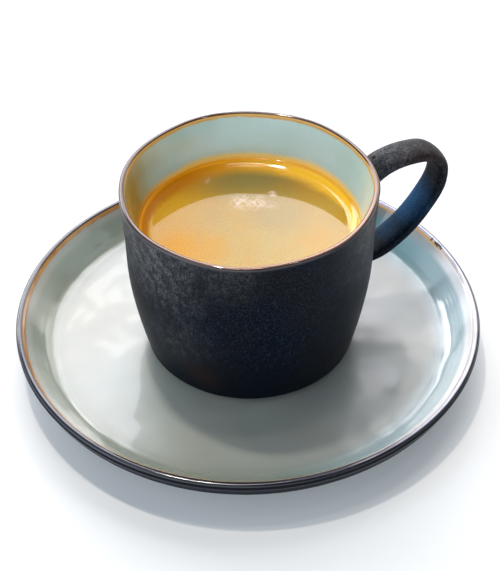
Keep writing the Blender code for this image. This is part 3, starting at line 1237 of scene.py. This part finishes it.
@dataclass
class Saucer:
    """The saucer: a low dish with a rolled rim on a foot ring."""

    radius: float = 0.0803
    height: float = 0.0162
    floor: float = 0.0056
    underside: float = 0.0018
    foot_outer: float = 0.0470
    foot_inner: float = 0.0425
    foot_slope: float = 0.0004
    rim_round: float = 0.00135
    well: tuple[Point, ...] = ((0.0380, 0.0056), (0.0560, 0.0058), (0.0660, 0.0061),
                               (0.0688, 0.0065), (0.0704, 0.0075), (0.0722, 0.0093),
                               (0.0748, 0.0122), (0.0775, 0.0154))
    back: tuple[Point, ...] = ((0.0799, 0.0138), (0.0782, 0.0101), (0.0733, 0.0056),
                               (0.0630, 0.0029), (0.0505, 0.0020))
    chips: tuple[Spot, ...] = (Spot((0.0771, 0.0114, 0.0157), 0.0007, 0.0004),
                               Spot((0.0774, 0.0090, 0.0157), 0.0006, 0.0003),
                               Spot((0.0776, 0.0081, 0.0157), 0.0007, 0.0004),
                               Spot((0.0777, 0.0072, 0.0157), 0.0008, 0.0005),
                               Spot((0.0778, 0.0062, 0.0157), 0.0008, 0.0005),
                               Spot((0.0779, 0.0053, 0.0157), 0.0006, 0.0003))

    def profile(self) -> list[Point]:
        """Draw the profile.

        Returns:
            Its points, from the middle of the underside round the rim to the floor's middle.
        """
        rim = (self.radius - self.rim_round, self.height - self.rim_round)
        foot = foot_ring(self.foot_inner, self.foot_outer, self.foot_slope, self.underside)
        back = through(tuple(reversed(self.back)), 8)
        crown = arc(rim, self.rim_round, -20, 145, 18)
        well = through(tuple(reversed(self.well)), 12)
        middle = [(r, self.floor) for r in np.linspace(self.well[0][0], 0.0, 16)[1:]]
        return foot + back + crown + well + middle

    def build(self) -> bpy.types.Object:
        """Turn the saucer and press its chips in.

        Returns:
            The saucer.
        """
        outside = DarkGlaze("saucer_back_glaze", rim=tint(12, 13, 24), rim_to=0.0050,
                            rim_coat=0.05).material()
        inside = SaucerFace("saucer_face_glaze", marks=self.chips).material()
        form = TurnedForm("saucer_glazed", self.profile(), outside, inside, waves=SAUCER_WAVES,
                          reach=self.radius, foot=self.floor, rim=self.height, segments=384,
                          relief=0.00012, relief_size=0.013)
        piece = form.build()
        dent(piece, self.chips)
        return piece


@dataclass
class Cup:
    """The cup: a round body with its strap handle, one piece of clay."""

    place: Place = (0.0010, 0.0001, 0.0059)
    height: float = 0.0643
    radius: float = 0.04235
    rim_round: float = 0.0011
    foot_outer: float = 0.0322
    foot_inner: float = 0.0280
    foot_height: float = 0.0012
    foot_slope: float = 0.0004
    heel_round: float = 0.0022
    heel_radius: float = 0.0342
    outer_wall: tuple[Point, ...] = ((0.0365, 0.0039), (0.0387, 0.0141), (0.0411, 0.0311),
                                     (0.0415, 0.0481), (0.0422, 0.0616))
    inner_wall: tuple[Point, ...] = ((0.0401, 0.0629), (0.0383, 0.0563), (0.0366, 0.0503),
                                     (0.0362, 0.0381), (0.0346, 0.0221))
    floor: float = 0.0057
    floor_round: float = 0.0090
    floor_flat: float = 0.0246
    strap: Strap = field(default_factory=Strap)
    joint_reach: float = 0.0026
    joint_rounds: int = 14
    pits: tuple[Spot, ...] = (Spot((0.0463, 0.0018, 0.0672), 0.0009, 0.0005),)
    notches: tuple[Spot, ...] = (Spot((-0.0388, -0.0022, 0.0694), 0.0011, 0.0004),)
    # Lighter grey: painted sheen on the shoulders and on the handle's top, partly wear; the low
    # spot on the left is a painted reflection of the saucer.
    sheen_and_wear_spots: tuple[Spot, ...] = (Spot((-0.038, -0.014, 0.066), 0.032, 1.0),
                              Spot((-0.020, -0.036, 0.068), 0.018, 0.45),
                              Spot((-0.034, -0.022, 0.034), 0.020, 0.30),
                              Spot((0.034, -0.024, 0.066), 0.030, 0.60),
                              Spot((0.052, 0.009, 0.0705), 0.021, 1.0),
                              Spot((0.056, 0.000, 0.068), 0.024, 0.65))
    # A brown glaze patch low on the body, and painted sheen on the handle's top.
    brown_patches_and_sheen: tuple[Spot, ...] = (Spot((-0.027, -0.028, 0.018), 0.010, 0.9),
                                 Spot((0.062, -0.006, 0.066), 0.015, 0.9))
    # Painted blue reflection on the handle's inner face.
    painted_blue_reflection: tuple[Spot, ...] = (Spot((0.0590, 0.0055, 0.0465), 0.0135, 1.0),
                               Spot((0.0530, 0.0050, 0.0360), 0.0110, 0.40))
    # Painted shade and light bounced from the coffee on the left inner wall, over a stain.
    stain_and_shade: tuple[Spot, ...] = (Spot((-0.040, 0.008, 0.056), 0.042, 1.0),)

    def inside(self) -> list[Point]:
        """The inner face, from the lip to the level part of the floor."""
        corner = arc((self.floor_flat, self.floor + self.floor_round), self.floor_round,
                     -6, -90, 12)
        return through(self.inner_wall, 14) + corner

    def profile(self) -> list[Point]:
        """Draw the profile.

        Returns:
            Its points, from the middle of the underside round the rim to the floor's middle.
        """
        foot = foot_ring(self.foot_inner, self.foot_outer, self.foot_slope, self.foot_height)
        heel = arc((self.heel_radius, self.foot_height + self.heel_round), self.heel_round,
                   -90, -15, 8)
        lip = (self.radius - self.rim_round, self.height - self.rim_round)
        rim = arc(lip, self.rim_round, 0, 168, 18)
        return (foot + heel + through(self.outer_wall, 16) + rim + self.inside()
                + [(self.floor_flat * 0.5, self.floor), (0.0, self.floor)])

    def inner_radius(self, height: float) -> float:
        """The inner radius at a height in the cup."""
        wall = sorted(self.inside(), key=lambda point: point[1])
        return float(np.interp(height, [z for _, z in wall], [r for r, _ in wall]))

    def build(self) -> bpy.types.Object:
        """Turn the body, join the handle on and ease the joint.

        Returns:
            The cup.
        """
        outside = DarkGlaze("cup_outer_glaze", self.place, sheen_and_wear_spots=self.sheen_and_wear_spots,
                            brown_patches_and_sheen=self.brown_patches_and_sheen, painted_blue_reflection=self.painted_blue_reflection,
                            marks=self.pits).material()
        inside = CupInside("cup_inner_glaze", self.place, stain_and_shade=self.stain_and_shade,
                           marks=self.notches).material()
        form = TurnedForm("cup_glazed", self.profile(), outside, inside, self.place,
                          waves=CUP_WAVES, reach=self.radius, rim=self.height, segments=256,
                          relief=0.00014, relief_size=0.012)
        body = form.build()
        handle_mesh = self.strap.mesh(self.place)
        handle_mesh.materials.append(outside)
        handle = link_object("handle", handle_mesh)
        cup, crease = join_solids(body, handle)
        soften(cup, crease, self.joint_reach, self.joint_rounds)
        dent(cup, self.pits + self.notches)
        return cup


@dataclass
class Drink:
    """The crema on the coffee, with its curved edge."""

    cup: Cup
    level: float = 0.0466
    depth: float = 0.0025
    rise: float = 0.0016
    edge_width: float = 0.0042
    into_wall: float = 0.0003
    curve: float = 2.2
    patches: tuple[Spot, ...] = (Spot((-0.0250, 0.0005, 0.0), 0.012, 0.7),
                                 Spot((-0.0165, -0.0040, 0.0), 0.011, 0.4))
    greyed: tuple[Spot, ...] = (Spot((0.012, 0.002, 0.0), 0.016, 0.7),
                                Spot((-0.012, 0.008, 0.0), 0.012, 0.5))
    # Patches of pale froth; the last, small one is a painted glint of a lamp.
    foam: tuple[Spot, ...] = (Spot((0.0024, 0.0136, 0.0), 0.0056, 0.9),
                              Spot((0.0070, 0.0112, 0.0), 0.0048, 0.9),
                              Spot((0.0105, 0.0084, 0.0), 0.0036, 0.4),
                              Spot((0.0138, 0.0139, 0.0), 0.0022, 1.0))

    def profile(self) -> list[Point]:
        """Draw the profile.

        Returns:
            Its points, from the middle of the foam's underside to the middle of its top.
        """
        bottom = self.level - self.depth
        top = self.level + self.rise
        side = [(self.cup.inner_radius(height) + self.into_wall, height)
                for height in np.linspace(bottom, top, 6)]
        wall = self.cup.inner_radius(top)
        curve = [(wall - self.edge_width * t, self.level + self.rise * (1 - t) ** self.curve)
                 for t in np.linspace(0.0, 1.0, 14)]
        inner = wall - self.edge_width
        flat = [(inner * (1 - t), self.level) for t in np.linspace(0.0, 1.0, 40)[1:]]
        return [(0.0, bottom), (inner * 0.5, bottom)] + side + curve + flat

    def build(self) -> bpy.types.Object:
        """Turn the crema.

        Returns:
            The crema.
        """
        finish = CremaFoam("crema_foam", self.cup.place, patches=self.patches,
                           greyed=self.greyed, foam=self.foam).material()
        form = TurnedForm("crema_surface", self.profile(), finish, finish, self.cup.place,
                          waves=CUP_WAVES, reach=self.cup.radius, rim=self.cup.height,
                          segments=256, relief=0.00003, relief_size=0.009)
        return form.build()


class Lamp(Enum):
    """The room's lights."""

    CEILING = "ceiling"
    CEILING_LEFT = "ceiling_left"
    CEILING_RIGHT = "ceiling_right"


@dataclass(frozen=True)
class Glow:
    """A soft-edged bright part of the room, in degrees as the cup sees it."""

    azimuth: float
    elevation: float
    wide: float
    tall: float
    soft: float
    colour: Colour

    def shine(self, wire: Wiring, toward: Socket) -> Socket:
        """Its light in each direction.

        Args:
            wire: The world's wiring.
            toward: The direction that is looked in.

        Returns:
            The socket with the light.
        """
        turn = math.radians(self.azimuth)
        ahead = wire.measure("DOT_PRODUCT", toward, (math.sin(turn), math.cos(turn), 0.0))
        aside = wire.measure("DOT_PRODUCT", toward, (math.cos(turn), -math.sin(turn), 0.0))
        rise = wire.math("ARCSINE", wire.split(toward)[2])
        across = wire.math("ABSOLUTE", wire.math("ARCTAN2", aside, ahead))
        above = wire.math("ABSOLUTE", wire.math("SUBTRACT", rise, math.radians(self.elevation)))
        share = wire.times(self.faded(wire, across, self.wide), self.faded(wire, above, self.tall))
        return wire.scaled(self.colour, share)

    def faded(self, wire: Wiring, off: Socket, size: float) -> Socket:
        """Share of the light at an angle from the middle of a width."""
        return wire.span(off, math.radians(max(size - self.soft, 0.0) / 2),
                         math.radians((size + self.soft) / 2), 1.0, 0.0)


@dataclass(frozen=True)
class Softbox:
    """A soft rectangular light that faces the cup, given as the cup sees it."""

    lamp: Lamp
    azimuth: float
    elevation: float
    wide: float
    tall: float
    radiance: float
    colour: Colour = (1.0, 1.0, 1.0)
    distance: float = 1.6

    def build(self, aim: Vector) -> bpy.types.Object:
        """Put the light in place.

        Args:
            aim: The point that it faces.

        Returns:
            The light.
        """
        lamp = bpy.data.lights.new(self.lamp.value, "AREA")
        lamp.shape = "RECTANGLE"
        lamp.size = 2 * self.distance * math.tan(math.radians(self.wide / 2))
        lamp.size_y = 2 * self.distance * math.tan(math.radians(self.tall / 2))
        lamp.energy = self.radiance * math.pi * lamp.size * lamp.size_y
        lamp.color = self.colour
        light = link_object(lamp.name, lamp)
        across, up = math.radians(self.azimuth), math.radians(self.elevation)
        away = Vector((math.sin(across) * math.cos(up), math.cos(across) * math.cos(up),
                       math.sin(up)))
        light.location = aim + away * self.distance
        light.rotation_mode = "QUATERNION"
        light.rotation_quaternion = away.to_track_quat("Z", "Y")
        return light


@dataclass
class Studio:
    """The camera, the lights and the floor."""

    turn: float = 20.4
    distance: float = 0.34146
    height: float = 0.32775
    pitch: float = 41.42
    roll: float = -0.57
    lens: float = 83.43
    sensor: float = 36.0
    floor_size: float = 6.0
    dim: Colour = (0.055, 0.06, 0.07)
    aim: Vector = field(default_factory=lambda: Vector((0.001, 0.0, 0.02)))

    def camera(self, axis: Place) -> bpy.types.Object:
        """Make the camera.

        Args:
            axis: The cup's place, which the camera's distance is measured from.

        Returns:
            The camera.
        """
        lens = bpy.data.cameras.new("camera")
        lens.lens, lens.sensor_width = self.lens, self.sensor
        lens.clip_start, lens.clip_end = 0.01, 50.0
        camera = link_object("camera", lens)
        turn = math.radians(self.turn)
        place = Matrix.Translation((axis[0] - self.distance * math.sin(turn),
                                    axis[1] - self.distance * math.cos(turn), self.height))
        camera.matrix_world = (place @ Matrix.Rotation(-turn, 4, "Z")
                               @ Matrix.Rotation(math.radians(90 - self.pitch), 4, "X")
                               @ Matrix.Rotation(math.radians(self.roll), 4, "Z"))
        bpy.context.scene.camera = camera
        return camera

    def floor(self) -> bpy.types.Object:
        """Lay the floor.

        Returns:
            The floor.
        """
        half = self.floor_size / 2
        mesh = bpy.data.meshes.new("floor")
        mesh.from_pydata([(-half, -half, 0), (half, -half, 0), (half, half, 0), (-half, half, 0)],
                         [], [(0, 1, 2, 3)])
        mesh.materials.append(PaleFloor("pale_floor").material())
        floor = link_object("floor", mesh)
        return floor

    def glows(self) -> tuple[Glow, ...]:
        """List the soft bright parts of the room.

        Returns:
            The glows, which add up where they overlap.
        """
        return (
            Glow(self.turn - 12, 42, 40, 18, 10, (4.9, 4.75, 5.1)),
            Glow(self.turn - 12, 51, 24, 12, 8, (2.0, 2.5, 2.9)),
            Glow(self.turn - 18, 22, 64, 22, 2.0, (5.6, 5.6, 5.6)),
            Glow(self.turn - 8, 40.5, 5, 3, 1.5, (5.0, 5.0, 4.8)),
            Glow(self.turn + 24, 48, 34, 22, 10, (4.0, 4.0, 4.1)),
            Glow(self.turn + 32, 25, 34, 36, 14, (1.9, 1.9, 1.85)),
            Glow(self.turn - 56, 9, 80, 30, 26, (0.8, 0.95, 1.05)),
            Glow(self.turn + 58, 10, 40, 20, 14, (0.7, 0.68, 0.6)),
            Glow(self.turn + 88, 30, 36, 30, 14, (0.5, 0.62, 0.62)),
            Glow(self.turn - 95, 40, 50, 60, 24, (0.45, 0.55, 0.62)),
            Glow(self.turn - 145, 33, 80, 76, 24, (0.50, 0.56, 0.62)),
            Glow(self.turn - 170, 10, 150, 46, 20, (1.05, 1.18, 1.30)),
        )

    def surroundings(self) -> None:
        """Light the room: an even dim light and the glows laid over it."""
        world = bpy.data.worlds.new("room")
        world.use_nodes = True
        bpy.context.scene.world = world
        wire = Wiring(world.node_tree)
        shader = world.node_tree.nodes["Background"]
        toward = wire.node("ShaderNodeTexCoord").outputs["Generated"]
        total: object = self.dim
        for glow in self.glows():
            total = wire.vector("ADD", total, glow.shine(wire, toward))
        wire.feed(shader.inputs["Color"], total)
        shader.inputs["Strength"].default_value = 1.0

    def lights(self) -> list[bpy.types.Object]:
        """Put the lights in place.

        Returns:
            The lights.
        """
        boxes = (
            Softbox(Lamp.CEILING, 22, 84, 13, 3, 26.0, (1.0, 0.92, 0.83)),
            Softbox(Lamp.CEILING_LEFT, -15, 75, 3, 3, 400.0, (1.0, 0.92, 0.83)),
            Softbox(Lamp.CEILING_RIGHT, 126, 69, 3, 3, 30.0),
        )
        return [box.build(self.aim) for box in boxes]

    def build(self, axis: Place) -> None:
        """Set up the studio round the cup.

        Args:
            axis: The cup's place.
        """
        scene = bpy.context.scene
        scene.view_settings.view_transform = "Standard"
        self.camera(axis)
        self.floor()
        self.surroundings()
        self.lights()


def main() -> None:
    """Build every piece in order and set up the studio."""
    logging.basicConfig(level=logging.INFO, format="%(name)s: %(message)s")
    cup = Cup()
    settle(Saucer().build(), "saucer_glaze", "saucer")
    settle(cup.build(), "cup_glaze", "cup")
    settle(Drink(cup).build(), "crema", "crema")
    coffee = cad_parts["coffee"]
    coffee.data.materials.clear()
    coffee.data.materials.append(BlackCoffee("black_coffee").material())
    LOG.info("coffee: carried over with its own finish")
    Studio().build(cup.place)


if __name__ == "__main__":
    main()
